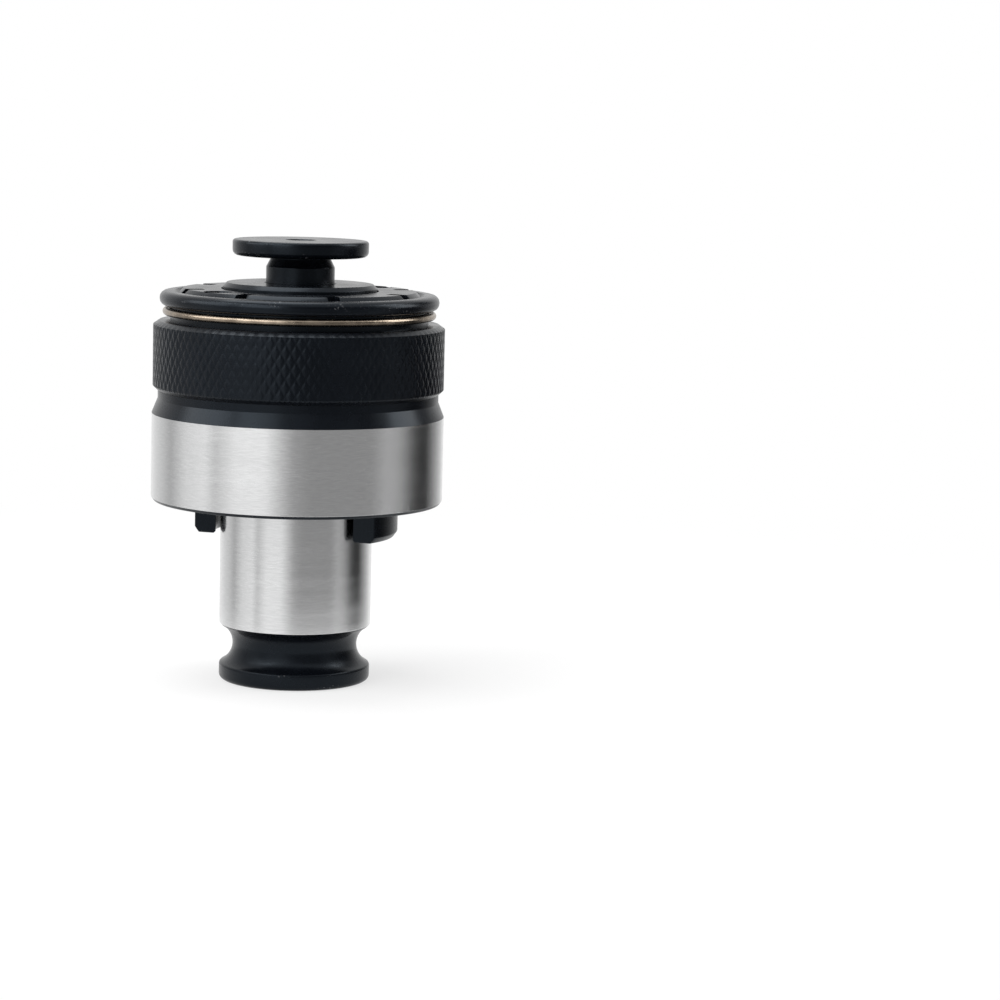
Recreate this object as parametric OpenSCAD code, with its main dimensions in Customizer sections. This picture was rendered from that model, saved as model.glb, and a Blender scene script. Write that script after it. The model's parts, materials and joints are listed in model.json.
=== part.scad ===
// Quick-change tap adapter with a torque-limiting ball clutch.
// It stands on the end face of its spigot with the tap side up. All sizes are in millimetres.

/* [Spigot] */
// Diameter of the ground spigot that plugs into the tapping chuck
spigot_d = 19; // [18:0.1:19.6]
// Length from the end face to the underside of the drive flange
spigot_len = 22.65; // [20:0.05:30]
// Height of the middle of the locking groove above the end face
groove_z = 4.5; // [4:0.1:8]
// Radius of the locking groove's section
groove_r = 2.7; // [1.5:0.1:3]
// Depth of the locking groove below the spigot's surface
groove_depth = 1.7; // [0.8:0.1:2]
// How much smaller in radius the lip below the groove is
lip_drop = 0.03; // [0:0.01:0.2]
// Rounding of the lip's lower edge
lip_round = 0.6; // [0.2:0.1:1]
// Height of the chamfer between the groove and the ground surface
groove_chamfer = 0.3; // [0.1:0.05:0.6]
// Step in radius from the spigot down to its journal in the drive flange
journal_step = 0.2; // [0.16:0.01:0.4]
// How far the step lies below the drive flange
journal_drop = 0.3; // [0.2:0.05:1]

/* [Drive flange] */
// Outer diameter of the ground band
band_d = 36.4; // [36:0.1:42]
// Height of the ground band with its lower chamfer
band_h = 10.85; // [9:0.05:12]
// Width of the band's lower chamfer
band_chamfer_w = 0.3; // [0.1:0.05:0.8]
// Height of the band's lower chamfer
band_chamfer_h = 0.4; // [0.1:0.05:0.8]
// Height of the cone above the band
cone_h = 1.8; // [1:0.1:3]
// Depth of the neck between band and sleeve, in radius
neck_depth = 0.72; // [0.3:0.02:1]
// Height of the straight neck under the sleeve
neck_h = 1; // [0.5:0.1:2]
// Thickness of the floor that carries the ball pockets
floor_t = 3.4; // [3:0.1:5]
// Wall of the threaded neck inside the sleeve
neck_wall = 1.8; // [1.2:0.1:2.2]
// Length of the threaded neck inside the sleeve
thread_len = 5.9; // [3:0.1:6]

/* [Drive dogs] */
// Number of drive dogs
dog_count = 2; // [2:1:4]
// Width of a drive dog
dog_w = 8.9; // [5:0.1:10]
// Height of a drive dog below the flange
dog_h = 4.25; // [2:0.05:6]
// Thickness of a drive dog in the radial direction
dog_t = 2.6; // [1.5:0.1:4]
// Gap between the spigot and a drive dog
dog_gap = 0.6; // [0.58:0.02:1.2]
// Width of the chamfer on a dog's lower outer edge
dog_chamfer_w = 0.5; // [0.1:0.1:0.8]
// Height of the chamfer on a dog's lower outer edge
dog_chamfer_h = 0.7; // [0.1:0.1:1]

/* [Knurled sleeve] */
// How far the knurl's crests lie inside the ground band
sleeve_inset = 0.08; // [0:0.02:0.4]
// Height of the chamfer at the knurl's lower end
sleeve_foot = 0.6; // [0.3:0.1:1]
// Width of the chamfer at the knurl's upper end
shoulder_w = 0.72; // [0.3:0.02:0.9]
// Height of the chamfer at the knurl's upper end
shoulder_h = 0.5; // [0.2:0.1:1]
// Width of the groove that holds the lock wire
wire_groove_w = 1.83; // [1.2:0.01:2.4]
// Wall between the lock wire's groove and the nut's thread
wire_groove_wall = 0.97; // [0.6:0.01:1.1]
// Height of the bead at the rim
bead_h = 1.85; // [1.4:0.05:3]
// How far the bead lies inside the knurl's crests
bead_inset = 0.77; // [0.5:0.01:1.4]
// Rounding of the bead's outer edges
bead_round = 0.85; // [0.2:0.05:0.9]
// Wall of the rim outside the nut's thread
rim_wall = 2.35; // [1.9:0.05:2.6]
// Chamfer at the mouth of the rim
mouth_chamfer = 0.55; // [0.2:0.05:0.9]

/* [Lock wire] */
// Diameter of the lock wire
wire_d = 0.85; // [0.5:0.05:1.1]
// Distance from the lock wire's middle up to the bead
wire_drop = 0.7; // [0.6:0.05:1.1]
// Angle that the open ring covers
wire_arc = 335; // [270:1:345]
// Direction of the bent end from the nut's first slot
wire_angle = 135; // [0:45:315]
// How far the bent end reaches into a slot of the nut
tang_reach = 1.4; // [0.6:0.1:2]

/* [Adjusting nut] */
// Height of the nut
nut_h = 4.8; // [4.5:0.05:7]
// How far the nut stands above the rim
nut_proud = 0.37; // [0:0.01:1]
// Chamfer at the nut's upper edge
nut_chamfer = 0.85; // [0.2:0.05:1.2]
// How far the nut's first slot is turned away from the first drive dog
nut_angle = -8.5; // [-22.5:0.5:22.5]
// Number of locking slots around the nut
slot_count = 8; // [8:8:16]
// Width of a locking slot
slot_w = 1.55; // [1.3:0.05:2.2]
// Length of a locking slot from the nut's edge
slot_len = 2.7; // [2.2:0.1:3.2]
// Number of pin-spanner holes
spanner_count = 2; // [2:2:4]
// Diameter of a pin-spanner hole
spanner_d = 3.5; // [2:0.1:3.8]
// Wall between a pin-spanner hole and the nut's edge
spanner_edge = 0.52; // [0.3:0.02:1]
// Depth of a pin-spanner hole
spanner_depth = 3; // [1.5:0.1:4]

/* [Clutch] */
// Diameter of the clutch balls
ball_d = 3.5; // [2.5:0.1:3.6]
// Number of clutch balls
ball_count = 12; // [6:1:15]
// Least wall of the cage around a ball
ball_wall = 0.5; // [0.3:0.05:0.54]
// Depth of a ball pocket
pocket_depth = 0.6; // [0.3:0.05:1]
// Play of the cage flange above the floor
cage_play = 0.15; // [0.05:0.05:0.3]
// Space between the cage flange and the pressure plate
cage_gap = 0.4; // [0.2:0.05:0.6]
// Thickness of the pressure plate
plate_t = 2.2; // [1.5:0.1:3]
// Number of disc springs
disc_count = 6; // [4:1:6]
// Thickness of a disc spring
disc_t = 1.15; // [0.8:0.05:1.3]
// Cone height of a disc spring
disc_cone = 0.75; // [0.3:0.05:1]
// Thickness of the thrust washer
washer_t = 1.5; // [1:0.1:2.5]

/* [Tap core] */
// Diameter of the core's hub, which shows inside the nut
hub_d = 19.2; // [18:0.1:19.6]
// How far the hub stands above the nut
hub_proud = 0.8; // [0.3:0.05:2]
// Chamfer at the hub's upper edge
hub_chamfer = 0.5; // [0.2:0.1:1]
// Gap between the hub and the rings around it
hub_gap = 0.2; // [0.1:0.05:0.3]
// How far the core's waist under the nut lies inside the hub
waist_relief = 0.1; // [0.05:0.05:0.5]
// Step that the square driver seats against, in radius
driver_seat = 0.7; // [0.4:0.1:1]
// Length of the square driver
driver_len = 7.5; // [6:0.1:12]
// Length of the square driver above its pins
driver_above_pin = 2.7; // [2:0.1:4]
// Diameter of the driver pins
pin_d = 2; // [1.5:0.1:2.4]
// How far the pins reach into the square driver
pin_bite = 2.8; // [1.5:0.1:3]

/* [Release collar] */
// Diameter of the tap's shank
tap_shank_d = 3.15; // [2.5:0.05:4.5]
// Width across the flats of the tap's square
tap_square = 2.5; // [2:0.05:3]
// Wall of the collar's stem around the shank
stem_wall = 2.66; // [2.4:0.02:3]
// Diameter of the push flange
collar_d = 16.9; // [12:0.1:19]
// Thickness of the push flange
collar_t = 2; // [1.5:0.1:3]
// Rounding of the push flange's upper edge
collar_round = 0.35; // [0.1:0.05:0.7]
// Rounding of the push flange's lower edge
collar_foot_round = 0.7; // [0.1:0.05:0.75]
// Stroke of the collar when it is pressed
collar_stroke = 3; // [2:0.1:3.4]
// Room left under the push flange when it is pressed home
collar_room = 0.35; // [0.3:0.05:1]
// Depth of the undercut below the push flange
undercut_depth = 0.5; // [0.2:0.05:0.8]
// Height of the bevel that leads to the undercut
undercut_bevel = 1; // [0.5:0.1:1.2]
// Height of the undercut
undercut_h = 0.35; // [0.2:0.05:0.6]
// Length of the stem's guide inside the hub
guide_len = 2.95; // [2.5:0.05:4]
// Step from the stem down to the collar's tail
tail_step = 0.36; // [0.3:0.02:0.6]
// Depth of the neck that the snap ring rides in
ring_neck_depth = 0.75; // [0.6:0.05:0.9]
// Wire diameter of the snap ring
ring_wire = 0.8; // [0.6:0.05:0.9]
// Diameter of the lock balls
lock_ball_d = 2.6; // [2.5:0.05:2.8]
// Number of lock balls
lock_ball_count = 3; // [2:1:4]
// Distance from the snap ring's neck down to the lock balls
lock_ball_drop = 3.4; // [3:0.1:4]
// Slope of the clamping taper in degrees
taper_angle = 8; // [6:0.5:9]
// Height of the straight land above the clamping taper
taper_land = 0.7; // [0.3:0.1:1]
// Length of the collar's tail below the lock balls
tail_len = 4.2; // [2:0.1:5]
// Wire diameter of the collar spring
spring_wire = 0.7; // [0.5:0.05:0.75]
// Number of turns of the collar spring
spring_turns = 4; // [3:0.5:4]

/* [Clearances] */
// Running clearance of turning and sliding fits, in radius
run_clear = 0.05; // [0.02:0.01:0.08]
// Clearance of the tap's shank and square, in radius
tap_clear = 0.025; // [0.01:0.005:0.05]
// Clearance around a ball
ball_clear = 0.03; // [0.01:0.01:0.05]
// Gap between pieces that rest on each other
seat_gap = 0.02; // [0.01:0.01:0.04]
// Gap between the clutch rings and the cavity around them
clutch_clear = 0.2; // [0.1:0.05:0.3]
// Depth of the nut's thread, by which the cavity is smaller than the nut
thread_depth = 0.5; // [0.3:0.05:0.8]
// Gap around the collar's tail and in the relieved end of its bore
tail_clear = 0.2; // [0.16:0.01:0.25]
// Gap between the snap ring and the collar's neck
ring_clear = 0.12; // [0.05:0.01:0.2]
// Play of the snap ring along the axis
ring_play = 0.05; // [0.02:0.01:0.1]

/* [Hidden] */
$fn = 96;
eps = 0.01;
black_oxide = [0.10, 0.11, 0.13];
ground_steel = [0.78, 0.78, 0.77];
hard_steel = [0.55, 0.56, 0.58];
spring_steel = [0.36, 0.37, 0.40];
bronze_wire = [0.72, 0.60, 0.42];

// Radii from the outside inwards
spigot_r = spigot_d / 2;
journal_r = spigot_r - journal_step;
lip_r = spigot_r - lip_drop;
groove_floor_r = spigot_r - groove_depth;
band_r = band_d / 2;
neck_r = band_r - neck_depth;
sleeve_r = band_r - sleeve_inset;
shoulder_r = sleeve_r - shoulder_w;
bead_r = sleeve_r - bead_inset;
nut_r = bead_r - rim_wall;
nut_bore_r = nut_r + run_clear;
cavity_r = nut_r - thread_depth;
clutch_r = cavity_r - clutch_clear;
sleeve_thread_r = cavity_r + neck_wall;
sleeve_bore_r = sleeve_thread_r + run_clear;
wire_groove_r = nut_bore_r + wire_groove_wall;
wire_r = wire_groove_r + run_clear + wire_d / 2;
dog_in = spigot_r + dog_gap;
dog_out = dog_in + dog_t;
hub_r = hub_d / 2;
ring_in = hub_r + hub_gap;
ball_r = ball_d / 2;
ball_hole_r = ball_r + run_clear;
ball_ring_r = min((max(hub_r, spigot_r) + clutch_r) / 2, clutch_r - ball_wall - ball_hole_r);
waist_r = min(hub_r - waist_relief, ball_ring_r - ball_hole_r - ball_wall);
slot_in = nut_r - slot_len;
spanner_ring_r = nut_r - spanner_edge - spanner_d / 2;

// Radii of the tap's holding parts
tap_bore_r = tap_shank_d / 2 + tap_clear;
relief_r = tap_bore_r + tail_clear;
stem_r = tap_bore_r + stem_wall;
stem_bore_r = stem_r + run_clear;
undercut_r = stem_r - undercut_depth;
tail_r = stem_r - tail_step;
ring_neck_r = stem_r - ring_neck_depth;
ring_r = ring_neck_r + ring_clear + ring_wire / 2;
ring_groove_r = ring_r + ring_wire / 2 + 2 * ring_clear;
lock_ball_r = lock_ball_d / 2;
lock_ball_ring_r = tap_bore_r + seat_gap + lock_ball_r;
taper_ball_r = lock_ball_ring_r + (lock_ball_r + ball_clear) / cos(taper_angle);
taper_top_r = tail_r + tail_clear;
spring_bore_r = taper_ball_r + (collar_stroke + lock_ball_r) * tan(taper_angle);
driver_r = spring_bore_r + driver_seat;
driver_bore_r = driver_r + run_clear;
spring_r = tail_r - spring_wire / 2 - run_clear;

// Heights from the end face upwards
flange_z = spigot_len;
dog_z = flange_z - dog_h;
band_top = flange_z + band_h;
cone_top = band_top + cone_h;
seat_z = cone_top + neck_h;
thread_top = seat_z + thread_len;
floor_z = flange_z + floor_t;
ball_z = floor_z - pocket_depth + ball_r;
ball_top = ball_z + ball_r;
cage_z = floor_z + cage_play;
cage_top = ball_top - cage_gap;
plate_z = ball_top + seat_gap;
disc_z = plate_z + plate_t + seat_gap;
disc_pitch = disc_t + disc_cone + seat_gap;
washer_z = disc_z + disc_count * disc_pitch;
nut_z = washer_z + washer_t + seat_gap;
nut_top = nut_z + nut_h;
rim_z = nut_top - nut_proud;
bead_z = rim_z - bead_h;
wire_z = bead_z - wire_drop;
shoulder_z = bead_z - wire_groove_w;
knurl_top = shoulder_z - shoulder_h;
hub_top = nut_top + hub_proud;
collar_z = hub_top + collar_stroke + collar_room;
collar_top = collar_z + collar_t;
guide_z = hub_top - guide_len;
ring_neck_z = guide_z - collar_stroke - ring_wire - 4 * ring_play;
ring_z = ring_neck_z + ring_play + ring_wire / 2;
lock_ball_z = ring_neck_z - lock_ball_drop;
tail_z = lock_ball_z - lock_ball_r - tail_len;
taper_top_z = lock_ball_z + (taper_ball_r - taper_top_r) / tan(taper_angle);
taper_end_z = lock_ball_z - (spring_bore_r - taper_ball_r) / tan(taper_angle);
stem_bore_z = taper_top_z + taper_land;
pin_z = flange_z + floor_t / 2;
pin_count = 2;
pin_angle = 180 / ball_count;
driver_top = pin_z + driver_above_pin;
driver_z = driver_top - driver_len;

// Ring of rectangular section
module ring(r_in, r_out, z, h) {
    rotate_extrude() translate([r_in, z]) square([r_out - r_in, h]);
}

// Cutter that rounds an outer edge of a turned piece, up = 1 at its top and -1 at its bottom
module edge_round(r, z, size, up) {
    middle_z = z - up * size;
    rotate_extrude() difference() {
        translate([r - size, min(middle_z, z - eps)]) square(size + eps);
        translate([r - size, middle_z]) circle(size);
    }
}

// Copies of a piece around the axis
module around(count, start = 0) {
    for (i = [0:count - 1]) rotate(start + i * 360 / count) children();
}

// Round rod along a radius, for pins and for the holes that take them
module radial_rod(r, from, to, z) {
    translate([from, 0, z]) rotate([0, 90, 0]) cylinder(r = r, h = to - from);
}

module drive_dog() {
    intersection() {
        rotate_extrude() polygon([
            [dog_in, dog_z + dog_chamfer_w / 2],
            [dog_in + dog_chamfer_w / 2, dog_z],
            [dog_out - dog_chamfer_w, dog_z],
            [dog_out, dog_z + dog_chamfer_h],
            [dog_out, flange_z + eps],
            [dog_in, flange_z + eps]
        ]);
        translate([0, -dog_w / 2, dog_z]) cube([dog_out + 1, dog_w, dog_h + eps]);
    }
}

module drive_body() {
    color(ground_steel) difference() {
        union() {
            rotate_extrude() polygon([
                [journal_r + run_clear, flange_z],
                [band_r - band_chamfer_w, flange_z],
                [band_r, flange_z + band_chamfer_h],
                [band_r, band_top],
                [neck_r, cone_top],
                [neck_r, seat_z],
                [sleeve_thread_r, seat_z],
                [sleeve_thread_r, thread_top],
                [cavity_r, thread_top],
                [cavity_r, floor_z],
                [journal_r + run_clear, floor_z]
            ]);
            around(dog_count) drive_dog();
        }
        around(ball_count) translate([ball_ring_r, 0, ball_z]) sphere(ball_r + ball_clear);
    }
}

module knurled_sleeve() {
    step_z = thread_top + 2 * run_clear;
    color(black_oxide) difference() {
        rotate_extrude() polygon([
            [sleeve_bore_r, seat_z + seat_gap],
            [neck_r, seat_z + seat_gap],
            [sleeve_r, seat_z + seat_gap + sleeve_foot],
            [sleeve_r, knurl_top],
            [shoulder_r, shoulder_z],
            [wire_groove_r, shoulder_z],
            [wire_groove_r, bead_z],
            [bead_r, bead_z],
            [bead_r, rim_z],
            [nut_bore_r + mouth_chamfer, rim_z],
            [nut_bore_r, rim_z - mouth_chamfer],
            [nut_bore_r, step_z],
            [sleeve_bore_r, step_z]
        ]);
        edge_round(bead_r, rim_z, bead_round, 1);
        edge_round(bead_r, bead_z, bead_round, -1);
        rotate(nut_angle + wire_angle) radial_rod(wire_d / 2 + 3 * run_clear, nut_r - wire_d, bead_r, wire_z);
    }
}

module lock_wire() {
    tang_in = nut_r - tang_reach;
    color(bronze_wire) rotate(nut_angle + wire_angle) translate([0, 0, wire_z]) {
        rotate_extrude(angle = wire_arc) translate([wire_r, 0]) circle(wire_d / 2);
        translate([wire_r, 0, 0]) sphere(wire_d / 2 + eps);
        radial_rod(wire_d / 2, tang_in, wire_r, 0);
    }
}

module adjusting_nut() {
    color(black_oxide) difference() {
        rotate_extrude() polygon([
            [ring_in, nut_z],
            [nut_r, nut_z],
            [nut_r, nut_top - nut_chamfer],
            [nut_r - nut_chamfer, nut_top],
            [ring_in, nut_top]
        ]);
        around(slot_count, nut_angle) translate([slot_in, -slot_w / 2, nut_z - 1])
            cube([slot_len + 1, slot_w, nut_h + 2]);
        around(spanner_count, nut_angle + 1.5 * 360 / slot_count)
            translate([spanner_ring_r, 0, nut_top - spanner_depth])
            cylinder(d = spanner_d, h = spanner_depth + 1);
    }
}

module thrust_washer() {
    color(hard_steel) ring(ring_in, clutch_r, washer_z, washer_t);
}

// Odd springs lie with the inner edge up and even ones with the outer edge up
module disc_spring(i) {
    z = disc_z + (i - 1) * disc_pitch;
    low_r = i % 2 == 1 ? clutch_r : ring_in;
    high_r = i % 2 == 1 ? ring_in : clutch_r;
    color(spring_steel) rotate_extrude() polygon([
        [low_r, z],
        [low_r, z + disc_t],
        [high_r, z + disc_t + disc_cone],
        [high_r, z + disc_cone]
    ]);
}

module pressure_plate() {
    color(hard_steel) ring(ring_in, clutch_r, plate_z, plate_t);
}

module clutch_balls() {
    color(hard_steel) around(ball_count) translate([ball_ring_r, 0, ball_z]) sphere(ball_r);
}

module tap_core() {
    shoulder = flange_z - journal_drop;
    groove_top = groove_z + sqrt(groove_r ^ 2 - (groove_r - groove_depth) ^ 2);
    color(ground_steel) difference() {
        rotate_extrude() polygon([
            [driver_bore_r, 0],
            [lip_r, 0],
            [lip_r, groove_z],
            [spigot_r - groove_chamfer, groove_z],
            [spigot_r - groove_chamfer, groove_top - groove_chamfer / 2],
            [spigot_r, groove_top + groove_chamfer / 2],
            [spigot_r, shoulder],
            [journal_r, shoulder],
            [journal_r, cage_z],
            [clutch_r, cage_z],
            [clutch_r, cage_top],
            [waist_r, cage_top],
            [waist_r, washer_z],
            [hub_r, washer_z],
            [hub_r, hub_top - hub_chamfer],
            [hub_r - hub_chamfer, hub_top],
            [stem_bore_r + hub_chamfer / 2, hub_top],
            [stem_bore_r, hub_top - hub_chamfer / 2],
            [stem_bore_r, stem_bore_z],
            [taper_top_r, stem_bore_z],
            [taper_top_r, taper_top_z],
            [spring_bore_r, taper_end_z],
            [spring_bore_r, driver_top + seat_gap],
            [driver_bore_r, driver_top + seat_gap]
        ]);
        rotate_extrude() translate([groove_floor_r + groove_r, groove_z]) circle(groove_r);
        edge_round(lip_r, 0, lip_round, -1);
        ring(stem_bore_r - eps, ring_groove_r, ring_neck_z, ring_wire + 2 * ring_play);
        around(ball_count) translate([ball_ring_r, 0, cage_z - 1])
            cylinder(r = ball_hole_r, h = ball_d + 2);
        around(pin_count, pin_angle)
            radial_rod(pin_d / 2 + seat_gap, driver_r - 1, journal_r + 1, pin_z);
    }
}

module square_driver() {
    square_w = tap_square + 2 * tap_clear;
    lead_r = tap_bore_r + 2 * tail_clear;
    lead_h = lead_r - square_w / 2;
    color(hard_steel) difference() {
        translate([0, 0, driver_z]) cylinder(r = driver_r, h = driver_len);
        translate([-square_w / 2, -square_w / 2, driver_z - 1]) cube([square_w, square_w, driver_len + 2]);
        translate([0, 0, driver_top - lead_h]) cylinder(r1 = square_w / 2, r2 = lead_r, h = lead_h + eps);
        around(pin_count, pin_angle)
            radial_rod(pin_d / 2 + seat_gap, driver_r - pin_bite, driver_r + 1, pin_z);
    }
}

module driver_pins() {
    color(hard_steel) around(pin_count, pin_angle)
        radial_rod(pin_d / 2, driver_r - pin_bite + seat_gap, journal_r - seat_gap, pin_z);
}

module release_collar() {
    bore_end = ring_neck_z - ring_wire / 2;
    mouth = collar_round;
    color(black_oxide) difference() {
        rotate_extrude() polygon([
            [relief_r, tail_z],
            [tail_r, tail_z],
            [tail_r, ring_neck_z],
            [ring_neck_r, ring_neck_z],
            [ring_neck_r, guide_z],
            [stem_r, guide_z],
            [stem_r, collar_z - undercut_h - undercut_bevel],
            [undercut_r, collar_z - undercut_h],
            [undercut_r, collar_z],
            [collar_d / 2, collar_z],
            [collar_d / 2, collar_top],
            [tap_bore_r + mouth, collar_top],
            [tap_bore_r, collar_top - mouth],
            [tap_bore_r, bore_end],
            [relief_r, bore_end]
        ]);
        edge_round(collar_d / 2, collar_top, collar_round, 1);
        edge_round(collar_d / 2, collar_z, collar_foot_round, -1);
        around(lock_ball_count) radial_rod(lock_ball_r + ball_clear, 0, stem_r + 1, lock_ball_z);
    }
}

module lock_ball(i) {
    color(hard_steel) rotate((i - 1) * 360 / lock_ball_count) translate([lock_ball_ring_r, 0, lock_ball_z])
        sphere(lock_ball_r);
}

module collar_snap_ring() {
    opening = 40;
    color(spring_steel) translate([0, 0, ring_z]) rotate(opening / 2) rotate_extrude(angle = 360 - opening)
        translate([ring_r, 0]) circle(ring_wire / 2);
}

// Coil spring with closed ends, swept as rings of points along a helix
module collar_spring() {
    sides = 8;
    steps = 16;
    end_turns = 0.75;
    end_pitch = 1.05 * spring_wire;
    low = driver_top + spring_wire / 2 + seat_gap;
    high = tail_z - spring_wire / 2 - seat_gap;
    turns = spring_turns + 2 * end_turns;
    end_rise = end_turns * end_pitch;
    rise = (high - low - 2 * end_rise) / spring_turns;
    count = ceil(turns * steps);
    function height(t) = t < end_turns ? low + t / end_turns * end_rise
        : t > turns - end_turns ? high - (turns - t) / end_turns * end_rise
        : low + end_rise + (t - end_turns) * rise;
    function section(t) = [for (k = [0:sides - 1]) let (
        a = k * 360 / sides,
        r = spring_r + spring_wire / 2 * cos(a)
    ) [r * cos(t * 360), r * sin(t * 360), height(t) + spring_wire / 2 * sin(a)]];
    points = [for (i = [0:count]) each section(i * turns / count)];
    walls = [for (i = [0:count - 1], k = [0:sides - 1]) let (
        a = i * sides + k,
        b = i * sides + (k + 1) % sides
    ) [a, a + sides, b + sides, b]];
    ends = [[for (k = [0:sides - 1]) k], [for (k = [sides - 1:-1:0]) count * sides + k]];
    color(spring_steel) polyhedron(points, concat(walls, ends), convexity = 10);
}

drive_body();
knurled_sleeve();
lock_wire();
adjusting_nut();
thrust_washer();
for (i = [1:disc_count]) disc_spring(i);
pressure_plate();
clutch_balls();
tap_core();
square_driver();
driver_pins();
release_collar();
collar_spring();
collar_snap_ring();
for (i = [1:lock_ball_count]) lock_ball(i);
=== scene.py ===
"""Looks of a quick-change tap adapter: turned skins, knurl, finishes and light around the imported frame."""

import json
import math

import bpy
import numpy as np
from mathutils import Matrix, Vector

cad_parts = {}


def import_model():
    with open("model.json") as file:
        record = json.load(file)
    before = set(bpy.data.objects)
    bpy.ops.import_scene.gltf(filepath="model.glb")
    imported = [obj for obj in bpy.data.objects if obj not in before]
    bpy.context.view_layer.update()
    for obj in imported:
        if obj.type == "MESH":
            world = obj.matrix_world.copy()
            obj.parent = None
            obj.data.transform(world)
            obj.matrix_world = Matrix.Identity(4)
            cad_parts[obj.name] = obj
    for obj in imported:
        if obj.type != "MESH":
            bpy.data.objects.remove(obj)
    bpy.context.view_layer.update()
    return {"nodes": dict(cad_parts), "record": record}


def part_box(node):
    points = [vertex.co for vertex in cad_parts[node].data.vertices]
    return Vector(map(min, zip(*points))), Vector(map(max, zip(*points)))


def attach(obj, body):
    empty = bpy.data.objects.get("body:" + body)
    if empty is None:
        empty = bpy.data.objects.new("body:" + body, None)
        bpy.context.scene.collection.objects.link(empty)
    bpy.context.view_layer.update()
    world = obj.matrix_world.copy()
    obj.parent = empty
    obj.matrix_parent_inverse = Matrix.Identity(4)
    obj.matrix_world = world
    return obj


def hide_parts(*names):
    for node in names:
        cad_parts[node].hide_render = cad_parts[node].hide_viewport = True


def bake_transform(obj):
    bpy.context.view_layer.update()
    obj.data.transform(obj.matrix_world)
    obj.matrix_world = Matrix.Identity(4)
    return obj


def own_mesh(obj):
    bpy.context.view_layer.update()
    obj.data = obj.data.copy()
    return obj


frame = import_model()
nodes = frame["nodes"]
scene = bpy.context.scene

MM = 0.001
TURN = 2 * math.pi


def heights(node):
    """Lowest and highest point of a node, in millimetres."""
    low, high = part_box(node)
    return low.z / MM, high.z / MM


def reach(node):
    """Largest radius of a node about the axis, in millimetres."""
    return max(math.hypot(v.co.x, v.co.y) for v in nodes[node].data.vertices) / MM


# Sizes in millimetres: the outer ones come from the frame
mounts = {m["name"]: m["dims"] for m in frame["record"]["mounts"]}
spigot_r = mounts["spigot"]["r_mm"]
tap_bore_r = mounts["tap_bore"]["r_mm"]
spanner_hole_r = mounts["spanner_holes"]["hole_r_mm"]
spanner_ring_r = mounts["spanner_holes"]["pcd_mm"] / 2
dog_z, thread_top = heights("drive_body")
band_r = reach("drive_body")
sleeve_z, rim_z = heights("knurled_sleeve")
sleeve_r = reach("knurled_sleeve")
nut_z, nut_top = heights("adjusting_nut")
nut_r = reach("adjusting_nut")
clutch_r = reach("tap_core")
hub_top = heights("tap_core")[1]
tail_z, collar_top = heights("release_collar")
collar_r = reach("release_collar")
plate_top = heights("pressure_plate")[1]
washer_z = heights("thrust_washer")[0]
driver_top = heights("square_driver")[1]
driver_r = reach("square_driver")

# Gaps between pieces, and how far a cutter reaches past a face
run_gap = 0.05
seat_gap = 0.02
pocket_gap = 0.03
thread_gap = 0.1
cutter_reach = 1

# Edges that are broken on the lathe
edge = 0.12

# Spigot and core
lip_r = 9.47
lip_round = 0.6
lip_edge = 0.35
groove_z = 4.5
groove_section_r = 2.7
groove_depth = 1.7
groove_chamfer = 0.3
groove_steps = 25
spigot_low_edge = 0.08
spigot_top_edge = 0.06
shoulder_z = 22.35
journal_r = 9.3
cage_z, cage_top = 26.2, 28.55
cage_fillet = 0.1
waist_r = 9.5
waist_fillet = 0.2
hub_r = 9.6
hub_chamfer = 0.5
stem_bore_r = 4.31
ring_groove_r = 4.67
ring_groove_z = 42.88
ring_groove_h = 0.9
taper_land = 0.7
taper_top_r = 4.1
taper_top_z = 40.64
spring_bore_r = 4.867
taper_end_z = 35.18
driver_bore_r = driver_r + run_gap
bore_edge = 0.3
ball_count = 12
ball_ring_r = 11.95
ball_r = 1.75
ball_z = 27.2
pin_r = 1.02
pin_z = 24.35
pin_angle = math.pi / ball_count

# Drive body
flange_z = 22.65
band_top = 33.5
band_chamfer_w, band_chamfer_h = 0.3, 0.4
flange_edge = 0.05
band_low_edge = 0.08
band_top_edge = 0.04
cone_edge = 0.1
cone_top = 35.3
neck_r = 17.48
neck_top = sleeve_z - seat_gap
thread_r = 16.3
thread_edge = 0.2
cavity_r = 14.5
cavity_edge = 0.1
floor_z = 26.05
floor_fillet = 0.2
dog_in, dog_out = 10.1, 12.7
dog_w = 8.9
dog_root = 0.05
dog_steps = 16
dog_chamfer_w, dog_chamfer_h = 0.5, 0.7

# Knurled sleeve
foot_h = 0.6
knurl_top = 44.48
ledge_z = 44.98
ledge_r = 17.4
wire_groove_r = 16.02
bead_z = 46.81
bead_r = 17.35
bead_round = 0.85
nut_bore_r = 15.05
mouth_chamfer = 0.55
sleeve_bore_r = 16.35
sleeve_step_z = thread_top + thread_gap
knurl_starts = 94
knurl_lead = 2.1
knurl_depth = 0.09
knurl_flank = 0.5
knurl_steps = 10
knurl_margin = 0.01

# Adjusting nut
nut_in = 9.8
nut_chamfer = 0.6
nut_angle = math.radians(-8.5)
slot_count = 8
slot_w = 1.55
slot_in = 12.3
spanner_depth = 3.0
spanner_angle = nut_angle + 1.5 * TURN / slot_count

# Lock wire
wire_radius = 0.46
wire_z = 46.11
wire_ring_r = 16.53
wire_arc = math.radians(335)
wire_angle = nut_angle + math.radians(135)
tang_in = 13.6
tang_bend = 0.9
bend_steps = 9
ring_steps = 200

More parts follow.
